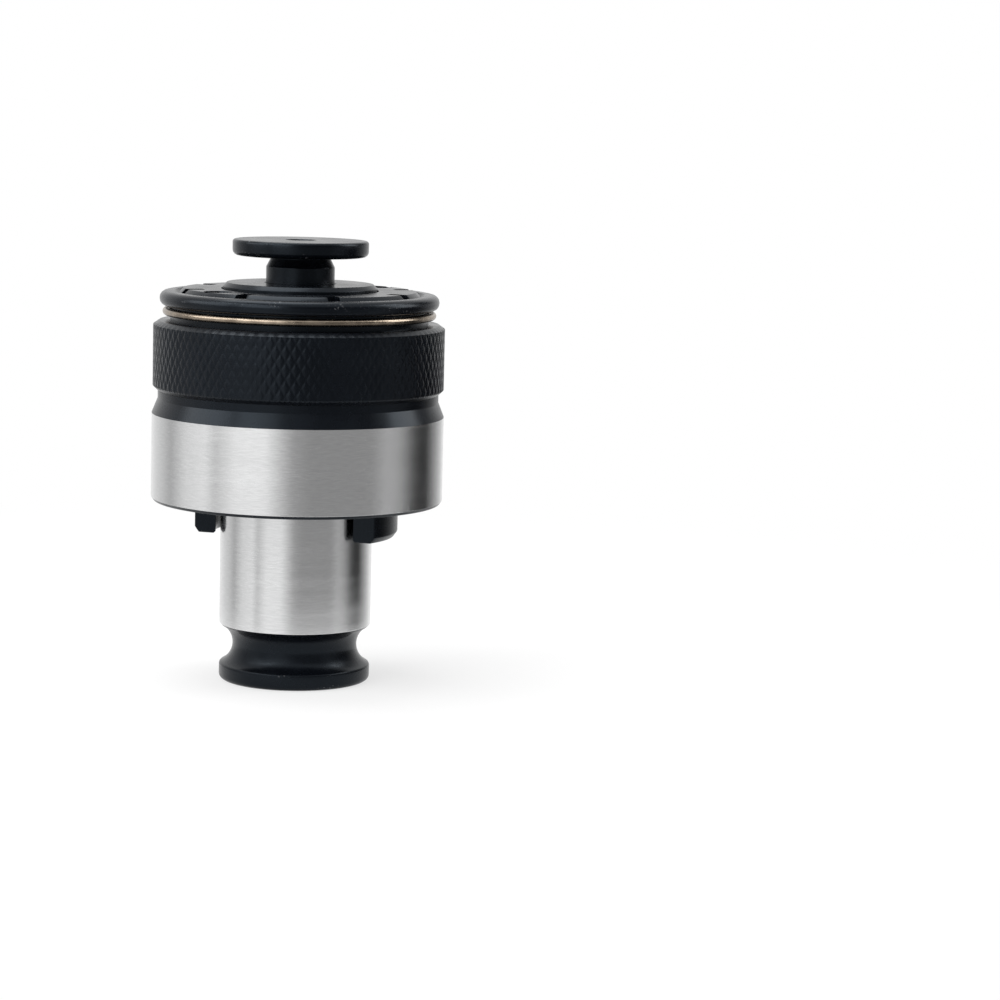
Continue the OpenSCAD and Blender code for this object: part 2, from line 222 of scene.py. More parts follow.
# Release collar
collar_z = 53.18
collar_round = 0.35
collar_foot_round = 0.7
undercut_z = 52.83
undercut_r = 3.76
undercut_fillet = 0.15
bevel_z = 51.83
stem_r = 4.26
guide_z = 46.88
ring_neck_r = 3.51
ring_neck_z = 42.88
tail_r = 3.9
relief_r = 1.8
relief_top = 42.48
lock_ball_count = 3
lock_ball_hole_r = 1.33
lock_ball_z = 39.48
lock_pocket_in = 0.2

# Springs
disc_count = 6
disc_t = 1.15
disc_cone = 0.75
disc_gap = 0.02
spring_wire_r = 0.35
spring_coil_r = 3.5
spring_turns = 5.5
spring_end_turns = 0.75
spring_end_pitch = 1.05
spring_steps = 260


# Finishes

# The range that most of a noise's values fill
NOISE_SPAN = (0.3, 0.7)


def bare_material(name):
    """A new material with an empty node tree, and that tree."""
    material = bpy.data.materials.new(name)
    material.use_nodes = True
    material.node_tree.nodes.clear()
    return material, material.node_tree


class Finish:
    """A procedural material that grows node by node around one shader."""

    def __init__(self, name):
        self.material, self.tree = bare_material(name)
        self.shader = self.add("ShaderNodeBsdfPrincipled")
        output = self.add("ShaderNodeOutputMaterial")
        self.link(self.shader.outputs["BSDF"], output.inputs["Surface"])
        self.place = self.add("ShaderNodeTexCoord").outputs["Object"]

    def add(self, kind, **settings):
        node = self.tree.nodes.new(kind)
        for name, value in settings.items():
            setattr(node, name, value)
        return node

    def link(self, source, target):
        self.tree.links.new(source, target)

    def set(self, **constants):
        """Constants on the shader's own sockets, with _ for a space in the socket's name."""
        for name, value in constants.items():
            self.shader.inputs[name.replace("_", " ")].default_value = value

    def drive(self, **sources):
        """Links into the shader's sockets, with _ for a space in the socket's name."""
        for name, source in sources.items():
            self.link(source, self.shader.inputs[name.replace("_", " ")])

    def noise(self, scale, detail=3.0, roughness=0.5):
        """Noise with a scale for each axis, in features per metre."""
        mapping = self.add("ShaderNodeMapping")
        mapping.inputs["Scale"].default_value = scale
        self.link(self.place, mapping.inputs["Vector"])
        noise = self.add("ShaderNodeTexNoise")
        noise.inputs["Scale"].default_value = 1
        noise.inputs["Detail"].default_value = detail
        noise.inputs["Roughness"].default_value = roughness
        self.link(mapping.outputs["Vector"], noise.inputs["Vector"])
        return noise.outputs["Fac"]

    def fit(self, value, low, high, to_low=0.0, to_high=1.0):
        """A value from low..high brought to to_low..to_high, and held there outside."""
        fit = self.add("ShaderNodeMapRange")
        self.link(value, fit.inputs["Value"])
        for name, number in (("From Min", low), ("From Max", high), ("To Min", to_low), ("To Max", to_high)):
            fit.inputs[name].default_value = number
        return fit.outputs["Result"]

    def math(self, operation, a, b):
        node = self.add("ShaderNodeMath", operation=operation)
        for socket, value in zip(node.inputs, (a, b)):
            if isinstance(value, (int, float)):
                socket.default_value = value
            else:
                self.link(value, socket)
        return node.outputs[0]

    def mix(self, share, a, b):
        """Colour a at share 0 and colour b at share 1; a colour is a tuple or another node's output."""
        mix = self.add("ShaderNodeMix", data_type="RGBA")
        self.link(share, mix.inputs["Factor"])
        for socket, colour in ((mix.inputs[6], a), (mix.inputs[7], b)):
            if isinstance(colour, tuple):
                socket.default_value = (*colour, 1)
            else:
                self.link(colour, socket)
        return mix.outputs[2]

    def bump(self, height, depth_mm, strength=1.0):
        bump = self.add("ShaderNodeBump")
        bump.inputs["Strength"].default_value = strength
        bump.inputs["Distance"].default_value = depth_mm * MM
        self.link(height, bump.inputs["Height"])
        self.drive(Normal=bump.outputs["Normal"])


def grey(value, warmth=0.0):
    return (value * (1 + warmth), value, value * (1 - warmth))


def ground_steel():
    finish = Finish("ground_steel")
    lines = finish.noise((900, 900, 9000), detail=3)
    bands = finish.noise((50, 50, 900), detail=3)
    stains = finish.noise((160, 160, 160), detail=5, roughness=0.65)
    light = finish.mix(finish.fit(lines, *NOISE_SPAN), grey(0.67, -0.006), grey(0.74, -0.004))
    finish.drive(Base_Color=finish.mix(finish.fit(stains, 0.62, 0.75, 0, 0.25), light, grey(0.6, 0.02)))
    finish.drive(Roughness=finish.fit(bands, *NOISE_SPAN, 0.17, 0.25))
    finish.bump(lines, 0.002, 0.2)
    finish.set(Metallic=1, Anisotropic=0.7, Anisotropic_Rotation=0.25)
    tangent = finish.add("ShaderNodeTangent", direction_type="RADIAL", axis="Z")
    finish.drive(Tangent=tangent.outputs["Tangent"])
    return finish.material


def black_oxide(name="black_oxide", wear=0.0):
    """Satin blackened steel; wear widens the patches that are rubbed back to bright steel."""
    finish = Finish(name)
    cloud = finish.noise((260, 260, 260), detail=4, roughness=0.6)
    grain = finish.noise((5200, 5200, 5200), detail=2)
    lines = finish.noise((200, 200, 6000), detail=2)
    black = finish.mix(finish.fit(cloud, *NOISE_SPAN), (0.0016, 0.0021, 0.0034), (0.0030, 0.0038, 0.0058))
    rough = finish.fit(cloud, *NOISE_SPAN, 0.22, 0.30)
    if wear:
        scrape = finish.noise((2600, 2600, 2600), detail=5, roughness=0.7)
        patches = finish.noise((170, 170, 170), detail=2)
        rubbed = finish.fit(patches, 0.58 - wear, 0.66 - wear)
        bare = finish.math("MULTIPLY", finish.fit(scrape, 0.60, 0.70), rubbed)
        black = finish.mix(bare, black, (0.22, 0.22, 0.23))
        finish.drive(Metallic=bare)
    finish.drive(Base_Color=black, Roughness=rough)
    finish.bump(finish.math("ADD", grain, lines), 0.003, 0.42)
    finish.set(Specular_IOR_Level=0.21, Specular_Tint=(0.72, 0.86, 1.0, 1))
    return finish.material


def bronze_wire():
    finish = Finish("bronze_wire")
    tarnish = finish.noise((700, 700, 700), detail=4)
    dull, bright = (0.24, 0.195, 0.15), (0.38, 0.315, 0.245)
    finish.drive(Base_Color=finish.mix(finish.fit(tarnish, 0.35, 0.7), dull, bright))
    finish.drive(Roughness=finish.fit(tarnish, *NOISE_SPAN, 0.2, 0.34))
    finish.bump(finish.noise((4000, 4000, 4000), detail=2), 0.004, 0.2)
    finish.set(Metallic=1)
    return finish.material


def hard_steel():
    finish = Finish("hard_steel")
    lines = finish.noise((300, 300, 7000), detail=2)
    cloud = finish.noise((400, 400, 400), detail=3)
    finish.drive(Base_Color=finish.mix(finish.fit(lines, *NOISE_SPAN), grey(0.50), grey(0.62, -0.01)))
    finish.drive(Roughness=finish.fit(cloud, *NOISE_SPAN, 0.14, 0.26))
    finish.bump(lines, 0.002, 0.2)
    finish.set(Metallic=1)
    return finish.material


def spring_steel():
    finish = Finish("spring_steel")
    cloud = finish.noise((500, 500, 500), detail=4)
    grain = finish.noise((4500, 4500, 4500), detail=2)
    finish.drive(Base_Color=finish.mix(finish.fit(cloud, *NOISE_SPAN), grey(0.15, -0.03), grey(0.24, 0.02)))
    finish.drive(Roughness=finish.fit(cloud, *NOISE_SPAN, 0.28, 0.42))
    finish.bump(grain, 0.003, 0.2)
    finish.set(Metallic=1)
    return finish.material


finishes = {
    "steel": ground_steel(),
    "black": black_oxide(),
    "worn": black_oxide("black_oxide_worn_edge", wear=0.05),
    "bronze": bronze_wire(),
    "hard": hard_steel(),
    "spring": spring_steel(),
}


# Mesh helpers

def new_piece(name, verts, faces, used, face_finish=None):
    """A mesh object from points in millimetres; face_finish picks one of the used finishes for each face."""
    mesh = bpy.data.meshes.new(name)
    mesh.from_pydata((np.asarray(verts, float) * MM).tolist(), [], faces)
    for finish in used:
        mesh.materials.append(finishes[finish])
    if face_finish is not None:
        mesh.polygons.foreach_set("material_index", face_finish)
    mesh.validate()
    piece = bpy.data.objects.new(name, mesh)
    scene.collection.objects.link(piece)
    return piece


def apply_modifiers(piece):
    """Gives the piece the mesh that its modifiers make."""
    graph = bpy.context.evaluated_depsgraph_get()
    made = piece.evaluated_get(graph)
    mesh = bpy.data.meshes.new_from_object(made, preserve_all_data_layers=True, depsgraph=graph)
    piece.modifiers.clear()
    piece.data = mesh


def carve(piece, cutters):
    """Cuts the cutters out of the piece and removes them."""
    for cutter in cutters:
        cut = piece.modifiers.new("cut", "BOOLEAN")
        cut.operation = "DIFFERENCE"
        cut.solver = "EXACT"
        cut.object = cutter
    apply_modifiers(piece)
    for cutter in cutters:
        bpy.data.objects.remove(cutter)


def smooth(piece, angle=32, bevel_mm=0.0):
    """Breaks sharp edges by a small bevel and shades the rest smooth."""
    if bevel_mm:
        bevel = piece.modifiers.new("bevel", "BEVEL")
        bevel.width = bevel_mm * MM
        bevel.segments = 2
        bevel.limit_method = "ANGLE"
        bevel.angle_limit = math.radians(angle)
        apply_modifiers(piece)
    mesh = piece.data
    mesh.polygons.foreach_set("use_smooth", [True] * len(mesh.polygons))
    mesh.set_sharp_from_angle(angle=math.radians(angle))
    weighted = piece.modifiers.new("weighted_normals", "WEIGHTED_NORMAL")
    weighted.keep_sharp = True
    return piece


def dress(piece, body, slot, *replaced):
    """Puts a finished piece on its body and in place of its nodes; slot is not used."""
    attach(piece, body)
    if replaced:
        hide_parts(*replaced)


def fillet(before, corner, after, size, steps=4):
    """Points of the arc that rounds a corner of an outline."""
    p = np.array(corner)
    u, v = np.array(before) - p, np.array(after) - p
    u, v = u / np.linalg.norm(u), v / np.linalg.norm(v)
    half = math.acos(max(-1.0, min(1.0, float(u @ v)))) / 2
    middle = p + (u + v) / np.linalg.norm(u + v) * size / math.sin(half)
    start, end = p + u * size / math.tan(half) - middle, p + v * size / math.tan(half) - middle
    sweep = math.pi - 2 * half
    return [tuple(middle + (start * math.sin(sweep * (1 - t)) + end * math.sin(sweep * t)) / math.sin(sweep))
            for t in np.linspace(0, 1, steps + 1)]


def outline(corners):
    """Points (r, z) and finishes of a section's walls; a corner is (r, z, rounding, next wall's finish)."""
    points, walls = [], []
    for i, (r, z, size, finish) in enumerate(corners):
        if size:
            arc = fillet(corners[i - 1][:2], (r, z), corners[(i + 1) % len(corners)][:2], size)
        else:
            arc = [(r, z)]
        rounded = "worn" if finish == "black" else finish
        points += arc
        walls += [rounded] * (len(arc) - 1) + [finish]
    return points, walls


def turned(name, corners, segments=192, relief=None):
    """A turned piece from a closed section, with relief(angle, r, z) to change the radius of its points."""
    points, walls = outline(corners)
    used = list(dict.fromkeys(walls))
    r, z = np.array(points).T
    angle = np.arange(segments) * TURN / segments
    radius, height = np.tile(r, (segments, 1)), np.tile(z, (segments, 1))
    if relief:
        radius = relief(angle[:, None], radius, height)
    cosine, sine = np.cos(angle)[:, None], np.sin(angle)[:, None]
    verts = np.stack([radius * cosine, radius * sine, height], -1).reshape(-1, 3)
    count = len(points)
    outward = sum(r[i - 1] * z[i] - r[i] * z[i - 1] for i in range(count)) > 0
    faces, face_finish = [], []
    for j in range(segments):
        a, b = j * count, (j + 1) % segments * count
        for i in range(count):
            k = (i + 1) % count
            quad = (a + i, b + i, b + k, a + k)
            faces.append(quad if outward else quad[::-1])
            face_finish.append(used.index(walls[i]))
    return new_piece(name, verts, faces, used, face_finish)


def tube(name, path, radius, sides=14, finish="spring"):
    """A round wire along a path in millimetres, with flat ends."""
    path = np.array(path)
    along = np.gradient(path, axis=0)
    along /= np.linalg.norm(along, axis=1)[:, None]
    upright = abs(along[0][2]) > 0.9
    side = np.cross(along, (1, 0, 0) if upright else (0, 0, 1))
    side /= np.linalg.norm(side, axis=1)[:, None]
    up = np.cross(side, along)
    turn = np.arange(sides) * TURN / sides
    rings = path[:, None] + radius * (
        np.cos(turn)[None, :, None] * side[:, None] + np.sin(turn)[None, :, None] * up[:, None])
    faces = []
    for i in range(len(path) - 1):
        for k in range(sides):
            a, b = i * sides + k, i * sides + (k + 1) % sides
            faces.append((b, a, a + sides, b + sides))
    last = (len(path) - 1) * sides
    faces += [tuple(range(sides)), tuple(range(last, last + sides))[::-1]]
    return new_piece(name, rings.reshape(-1, 3), faces, [finish])


def rod(radius, start, end, sides=48):
    """A cutter: a closed cylinder between two points."""
    return tube("cutter", [start, (np.array(start) + np.array(end)) / 2, end], radius, sides, "black")


def block(low, high, angle):
    """A cutter: a box between two corners, turned about the axis."""
    corners = [(x, y, z) for z in (low[2], high[2]) for y in (low[1], high[1]) for x in (low[0], high[0])]
    faces = [(0, 2, 3, 1), (4, 5, 7, 6), (0, 1, 5, 4), (2, 6, 7, 3), (0, 4, 6, 2), (1, 3, 7, 5)]
    piece = new_piece("cutter", corners, faces, ["black"])
    piece.data.transform(Matrix.Rotation(angle, 4, "Z"))
    return piece


def ball(radius, middle, rings=24):
    """A cutter: a sphere as a stack of rings with two poles."""
    tilt = np.linspace(-math.pi / 2, math.pi / 2, rings + 1)[1:-1]
    sides = 2 * rings
    turn = np.arange(sides) * TURN / sides
    verts = [(radius * math.cos(t) * math.cos(a), radius * math.cos(t) * math.sin(a), radius * math.sin(t))
             for t in tilt for a in turn]
    faces = []
    for i in range(len(tilt) - 1):
        for k in range(sides):
            a, b = i * sides + k, i * sides + (k + 1) % sides
            faces.append((a, b, b + sides, a + sides))
    low, high = len(verts), len(verts) + 1
    top = (len(tilt) - 1) * sides
    for k in range(sides):
        faces.append((low, (k + 1) % sides, k))
        faces.append((high, top + k, top + (k + 1) % sides))
    verts += [(0, 0, -radius), (0, 0, radius)]
    return new_piece("cutter", np.array(verts) + np.array(middle), faces, ["black"])


def polar(r, angle, z=0.0):
    return (r * math.cos(angle), r * math.sin(angle), z)


# Pieces

def drive_body():
    """Ground band on a black drive flange, with the cone, the neck and the threaded stub in the sleeve."""
    piece = turned("drive_body_turned", [
        (journal_r + run_gap, flange_z, 0, "black"),
        (band_r - band_chamfer_w, flange_z, flange_edge, "black"),
        (band_r, flange_z + band_chamfer_h, band_low_edge, "steel"),
        (band_r, band_top, band_top_edge, "black"),
        (neck_r, cone_top, cone_edge, "black"),
        (neck_r, neck_top, 0, "black"),
        (thread_r, neck_top, 0, "hard"),
        (thread_r, thread_top, thread_edge, "hard"),
        (cavity_r, thread_top, cavity_edge, "hard"),
        (cavity_r, floor_z, floor_fillet, "hard"),
        (journal_r + run_gap, floor_z, 0, "hard"),
    ], segments=256)
    spheres = [ball(ball_r + pocket_gap, polar(ball_ring_r, i * TURN / ball_count, ball_z))
               for i in range(ball_count)]
    carve(piece, spheres)
    dress(smooth(piece), "housing", "steel", "drive_body")


def drive_dog(number):
    """Black drive dog: a sector of a ring, chamfered where it enters the chuck."""
    inner_chamfer = dog_chamfer_w / 2
    levels = [
        (dog_z, dog_in + inner_chamfer, dog_out - dog_chamfer_w),
        (dog_z + inner_chamfer, dog_in, dog_out - dog_chamfer_w * (1 - inner_chamfer / dog_chamfer_h)),
        (dog_z + dog_chamfer_h, dog_in, dog_out),
        (flange_z + dog_root, dog_in, dog_out),
    ]
    verts, faces = [], []
    for z, inner, outer in levels:
        for r, way in ((outer, 1), (inner, -1)):
            half = math.asin(dog_w / 2 / r)
            verts += [polar(r, way * a, z) for a in np.linspace(-half, half, dog_steps)]
    count = 2 * dog_steps
    for i in range(len(levels) - 1):
        for k in range(count):
            a, b = i * count + k, i * count + (k + 1) % count
            faces.append((a, b, b + count, a + count))
    top = (len(levels) - 1) * count
    faces += [tuple(range(count))[::-1], tuple(range(top, top + count))]
    piece = new_piece(f"drive_dog_{number}", verts, faces, ["black"])
    piece.data.transform(Matrix.Rotation((number - 1) * math.pi, 4, "Z"))
    dress(smooth(piece, bevel_mm=0.1), "housing", "black")


def knurl(angle, radius, height):
    """Cuts two families of helical grooves into the sleeve's outer wall, from its foot to its ledge."""
    count = knurl_starts * angle / TURN
    rise = (height - sleeve_z) / knurl_lead
    grooves = np.maximum(*[
        np.clip(1 - 2 * np.abs(w - np.round(w)) / knurl_flank, 0, 1) for w in (count + rise, count - rise)])
    between = (height > sleeve_z + knurl_margin) & (height < ledge_z - knurl_margin)
    outer = between & (radius > ledge_r - knurl_margin)
    return np.where(outer, np.minimum(radius, sleeve_r - knurl_depth * grooves), radius)


def knurled_sleeve():
    """Black ring with a diamond knurl, the wire's groove and a rounded bead at the rim."""
    row = knurl_lead / knurl_steps
    corners = [sleeve_z + foot_h, knurl_top]
    rows = [sleeve_z + row * i for i in range(1, int((ledge_z - sleeve_z) / row) + 1)]
    rows = sorted(corners + [z for z in rows if min(abs(z - corner) for corner in corners) > row / 4])

    def wall(z):
        foot = neck_r + (sleeve_r - neck_r) * min(1, (z - sleeve_z) / foot_h)
        head = ledge_r + (sleeve_r - ledge_r) * min(1, (ledge_z - z) / (ledge_z - knurl_top))
        return (min(foot, head), z, 0, "black")

    piece = turned("knurled_sleeve_turned", [
        (sleeve_bore_r, sleeve_z, 0, "black"),
        (neck_r, sleeve_z, 0, "black"),
        *[wall(z) for z in rows],
        (ledge_r, ledge_z, 0, "black"),
        (wire_groove_r, ledge_z, 0, "black"),
        (wire_groove_r, bead_z, 0, "black"),
        (bead_r, bead_z, bead_round, "black"),
        (bead_r, rim_z, bead_round, "black"),
        (nut_bore_r + mouth_chamfer, rim_z, edge / 2, "black"),
        (nut_bore_r, rim_z - mouth_chamfer, edge / 2, "black"),
        (nut_bore_r, sleeve_step_z, 0, "black"),
        (sleeve_bore_r, sleeve_step_z, 0, "black"),
    ], segments=knurl_starts * knurl_steps, relief=knurl)
    dress(smooth(piece, angle=38), "housing", "black", "knurled_sleeve")


def lock_wire():
    """Open spring ring with its end bent inwards, through the sleeve into a slot of the nut."""
    bend = [polar(wire_ring_r - tang_bend, 0)]
    bend += [(wire_ring_r - tang_bend + tang_bend * math.sin(a), tang_bend * (1 - math.cos(a)), 0)
             for a in np.linspace(0, math.pi / 2, bend_steps)[1:]]
    start = math.asin(tang_bend / wire_ring_r)
    path = [polar(tang_in, 0)] + bend
    path += [polar(wire_ring_r, a) for a in np.linspace(start, wire_arc, ring_steps)[2:]]
    turn = Matrix.Rotation(wire_angle, 3, "Z")
    path = [tuple(turn @ Vector(p) + Vector((0, 0, wire_z))) for p in path]
    piece = tube("lock_wire_bent", path, wire_radius, sides=16, finish="bronze")
    dress(smooth(piece, angle=50), "housing", "bronze", "lock_wire")


def adjusting_nut():
    """Black ring nut with open locking slots and two blind holes for a pin spanner."""
    piece = turned("adjusting_nut_slotted", [
        (nut_in, nut_z, 0, "black"),
        (nut_r, nut_z, 0, "black"),
        (nut_r, nut_top - nut_chamfer, 0, "black"),
        (nut_r - nut_chamfer, nut_top, 0, "black"),
        (nut_in, nut_top, 0, "black"),
    ], segments=180)
    slot_low = (slot_in, -slot_w / 2, nut_z - cutter_reach)
    slot_high = (nut_r + cutter_reach, slot_w / 2, nut_top + cutter_reach)
    slots_cut = [block(slot_low, slot_high, angle)
                 for angle in nut_angle + np.arange(slot_count) * TURN / slot_count]
    wells = [rod(spanner_hole_r, polar(spanner_ring_r, angle, nut_top - spanner_depth),
                 polar(spanner_ring_r, angle, nut_top + cutter_reach))
             for angle in (spanner_angle, spanner_angle + math.pi)]
    carve(piece, slots_cut + wells)
    dress(smooth(piece, bevel_mm=0.06), "nut", "black", "adjusting_nut")


def tap_core():
    """Ground spigot with a black locking groove, the clutch's ball cage and the black hub."""
    half = math.asin((groove_section_r - groove_depth) / groove_section_r)
    groove_middle = spigot_r - groove_depth + groove_section_r
    lip_half = math.acos((groove_middle - lip_r) / groove_section_r)
    groove = [(groove_middle - groove_section_r * math.cos(a),
               groove_z + groove_section_r * math.sin(a), 0, "black")
              for a in np.linspace(-lip_half, math.pi / 2 - half, groove_steps)]
    groove_top = groove[-1][1]
    piece = turned("tap_core_turned", [
        (driver_bore_r, 0, bore_edge, "black"),
        (lip_r, 0, lip_round, "black"),
        (*groove[0][:2], lip_edge, "black"),
        *groove[1:-2],
        (spigot_r - groove_chamfer, groove_top - groove_chamfer / 2, 0, "black"),
        (spigot_r, groove_top + groove_chamfer / 2, spigot_low_edge, "steel"),
        (spigot_r, shoulder_z, spigot_top_edge, "steel"),
        (journal_r, shoulder_z, 0, "steel"),
        (journal_r, cage_z, cage_fillet, "hard"),
        (clutch_r, cage_z, edge, "hard"),
        (clutch_r, cage_top, edge, "hard"),
        (waist_r, cage_top, waist_fillet, "hard"),
        (waist_r, washer_z, 0, "black"),
        (hub_r, washer_z, 0, "black"),
        (hub_r, hub_top - hub_chamfer, edge, "black"),
        (hub_r - hub_chamfer, hub_top, edge, "black"),
        (stem_bore_r + hub_chamfer / 2, hub_top, edge / 2, "black"),
        (stem_bore_r, hub_top - hub_chamfer / 2, 0, "hard"),
        (stem_bore_r, ring_groove_z + ring_groove_h, 0, "hard"),
        (ring_groove_r, ring_groove_z + ring_groove_h, 0, "hard"),
        (ring_groove_r, ring_groove_z, 0, "hard"),
        (stem_bore_r, ring_groove_z, 0, "hard"),
        (stem_bore_r, taper_top_z + taper_land, 0, "hard"),
        (taper_top_r, taper_top_z + taper_land, 0, "hard"),
        (taper_top_r, taper_top_z, 0, "hard"),
        (spring_bore_r, taper_end_z, 0, "hard"),
        (spring_bore_r, driver_top + seat_gap, 0, "hard"),
        (driver_bore_r, driver_top + seat_gap, 0, "hard"),
    ], segments=192)
    cage = [rod(ball_r + run_gap, polar(ball_ring_r, a, cage_z - cutter_reach),
                polar(ball_ring_r, a, cage_top + cutter_reach))
            for a in np.arange(ball_count) * TURN / ball_count]
    pins = [rod(pin_r, polar(driver_r - cutter_reach, a, pin_z), polar(journal_r + cutter_reach, a, pin_z))
            for a in (pin_angle, pin_angle + math.pi)]
    carve(piece, cage + pins)
    dress(smooth(piece), "core", "steel", "tap_core")


def release_collar():
    """Black push collar with the tap's hole; its tail carries the lock balls."""
    piece = turned("release_collar_turned", [
        (relief_r, tail_z, 0, "black"),
        (tail_r, tail_z, edge, "black"),
        (tail_r, ring_neck_z, 0, "black"),
        (ring_neck_r, ring_neck_z, 0, "black"),
        (ring_neck_r, guide_z, 0, "black"),
        (stem_r, guide_z, edge, "black"),
        (stem_r, bevel_z, edge, "black"),
        (undercut_r, undercut_z, 0, "black"),
        (undercut_r, collar_z, undercut_fillet, "black"),
        (collar_r, collar_z, collar_foot_round, "black"),
        (collar_r, collar_top, collar_round, "black"),
        (tap_bore_r + collar_round, collar_top, edge / 2, "black"),
        (tap_bore_r, collar_top - collar_round, edge / 2, "black"),
        (tap_bore_r, relief_top, 0, "black"),
        (relief_r, relief_top, 0, "black"),
    ], segments=160)
    pockets = [rod(lock_ball_hole_r, polar(lock_pocket_in, a, lock_ball_z),
                   polar(stem_r + cutter_reach, a, lock_ball_z))
               for a in np.arange(lock_ball_count) * TURN / lock_ball_count]
    carve(piece, pockets)
    dress(smooth(piece), "collar", "black", "release_collar")


def disc_spring(number):
    """Conical spring washer of the stack; odd and even washers face opposite ways."""
    pitch = (washer_z - plate_top - disc_gap) / disc_count
    z = plate_top + disc_gap + (number - 1) * pitch
    low_r, high_r = (clutch_r, nut_in) if number % 2 else (nut_in, clutch_r)
    piece = turned(f"disc_spring_{number}_turned", [
        (low_r, z, edge, "spring"),
        (low_r, z + disc_t, edge, "spring"),
        (high_r, z + disc_t + disc_cone, edge, "spring"),
        (high_r, z + disc_cone, edge, "spring"),
    ], segments=128)
    smooth(piece)
    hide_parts(f"disc_spring_{number}")
    if number <= disc_count // 2:
        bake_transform(piece)
    else:
        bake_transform(piece)


def collar_spring():
    """Coil spring with closed ends under the collar's tail."""
    low, high = driver_top + spring_wire_r + seat_gap, tail_z - spring_wire_r - seat_gap
    end_rise = spring_end_turns * 2 * spring_wire_r * spring_end_pitch
    steps = np.linspace(0, spring_turns, spring_steps)
    rise = np.interp(steps, [0, spring_end_turns, spring_turns - spring_end_turns, spring_turns],
                     [low, low + end_rise, high - end_rise, high])
    path = [polar(spring_coil_r, t * TURN, z) for t, z in zip(steps, rise)]
    piece = tube("collar_spring_coil", path, spring_wire_r, sides=12)
    dress(smooth(piece, angle=50), "core", "spring", "collar_spring")
    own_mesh(piece)


drive_body()
for number in (1, 2):
    drive_dog(number)
knurled_sleeve()
lock_wire()
adjusting_nut()
tap_core()
release_collar()
for number in range(1, disc_count + 1):
    disc_spring(number)
collar_spring()

carried_over = {
    "hard": ["thrust_washer", "pressure_plate", "clutch_balls", "square_driver", "driver_pins",
             *[f"lock_ball_{i}" for i in range(1, lock_ball_count + 1)]],
    "spring": ["collar_snap_ring"],
}
for finish, names in carried_over.items():
    for name in names:
        nodes[name].data.materials.clear()
        nodes[name].data.materials.append(finishes[finish])


# Studio

def camera():
    """Camera of the photograph: its place about the axis, its aim and its long lens."""
    azimuth, distance, height = math.radians(20.4), 373.9, 73.3
    pitch, yaw, roll = math.radians(7.64), math.radians(3.91), math.radians(1.46)
    data = bpy.data.cameras.new("camera")
    data.sensor_width = 36
    data.lens = 108
    data.clip_start, data.clip_end = 0.01, 20
    obj = bpy.data.objects.new("camera", data)
    scene.collection.objects.link(obj)
    turn = Matrix.Rotation(azimuth, 3, "Z")
    ahead = Vector((math.sin(yaw) * math.cos(pitch), math.cos(yaw) * math.cos(pitch), -math.sin(pitch)))
    right = Vector((math.cos(yaw), -math.sin(yaw), 0))
    up = right.cross(ahead)
    right, up = right * math.cos(roll) + up * math.sin(roll), up * math.cos(roll) - right * math.sin(roll)
    axes = Matrix((turn @ right, turn @ up, turn @ -ahead)).transposed().to_4x4()
    obj.matrix_world = Matrix.Translation(turn @ Vector((0, -distance, height)) * MM) @ axes
    scene.camera = obj
    return azimuth


def seen_directly(tree):
    """Share 1 for what the camera or a reflection sees, and 0 for light that falls on a surface."""
    path = tree.nodes.new("ShaderNodeLightPath")
    total = path.outputs["Is Camera Ray"]
    for name in ("Is Glossy Ray", "Is Transmission Ray"):
        add = tree.nodes.new("ShaderNodeMath")
        add.operation = "MAXIMUM"
        tree.links.new(total, add.inputs[0])
        tree.links.new(path.outputs[name], add.inputs[1])
        total = add.outputs[0]
    return total


def world(ambient):
    """White to the camera and in reflections, softer as light."""
    made = bpy.data.worlds.new("studio")
    made.use_nodes = True
    tree = made.node_tree
    tree.nodes.clear()
    output = tree.nodes.new("ShaderNodeOutputWorld")
    mix = tree.nodes.new("ShaderNodeMixShader")
    tree.links.new(seen_directly(tree), mix.inputs["Fac"])
    for socket, strength in ((1, ambient), (2, 1.0)):
        light = tree.nodes.new("ShaderNodeBackground")
        light.inputs["Color"].default_value = (1, 1, 1, 1)
        light.inputs["Strength"].default_value = strength
        tree.links.new(light.outputs[0], mix.inputs[socket])
    tree.links.new(mix.outputs[0], output.inputs["Surface"])
    scene.world = made


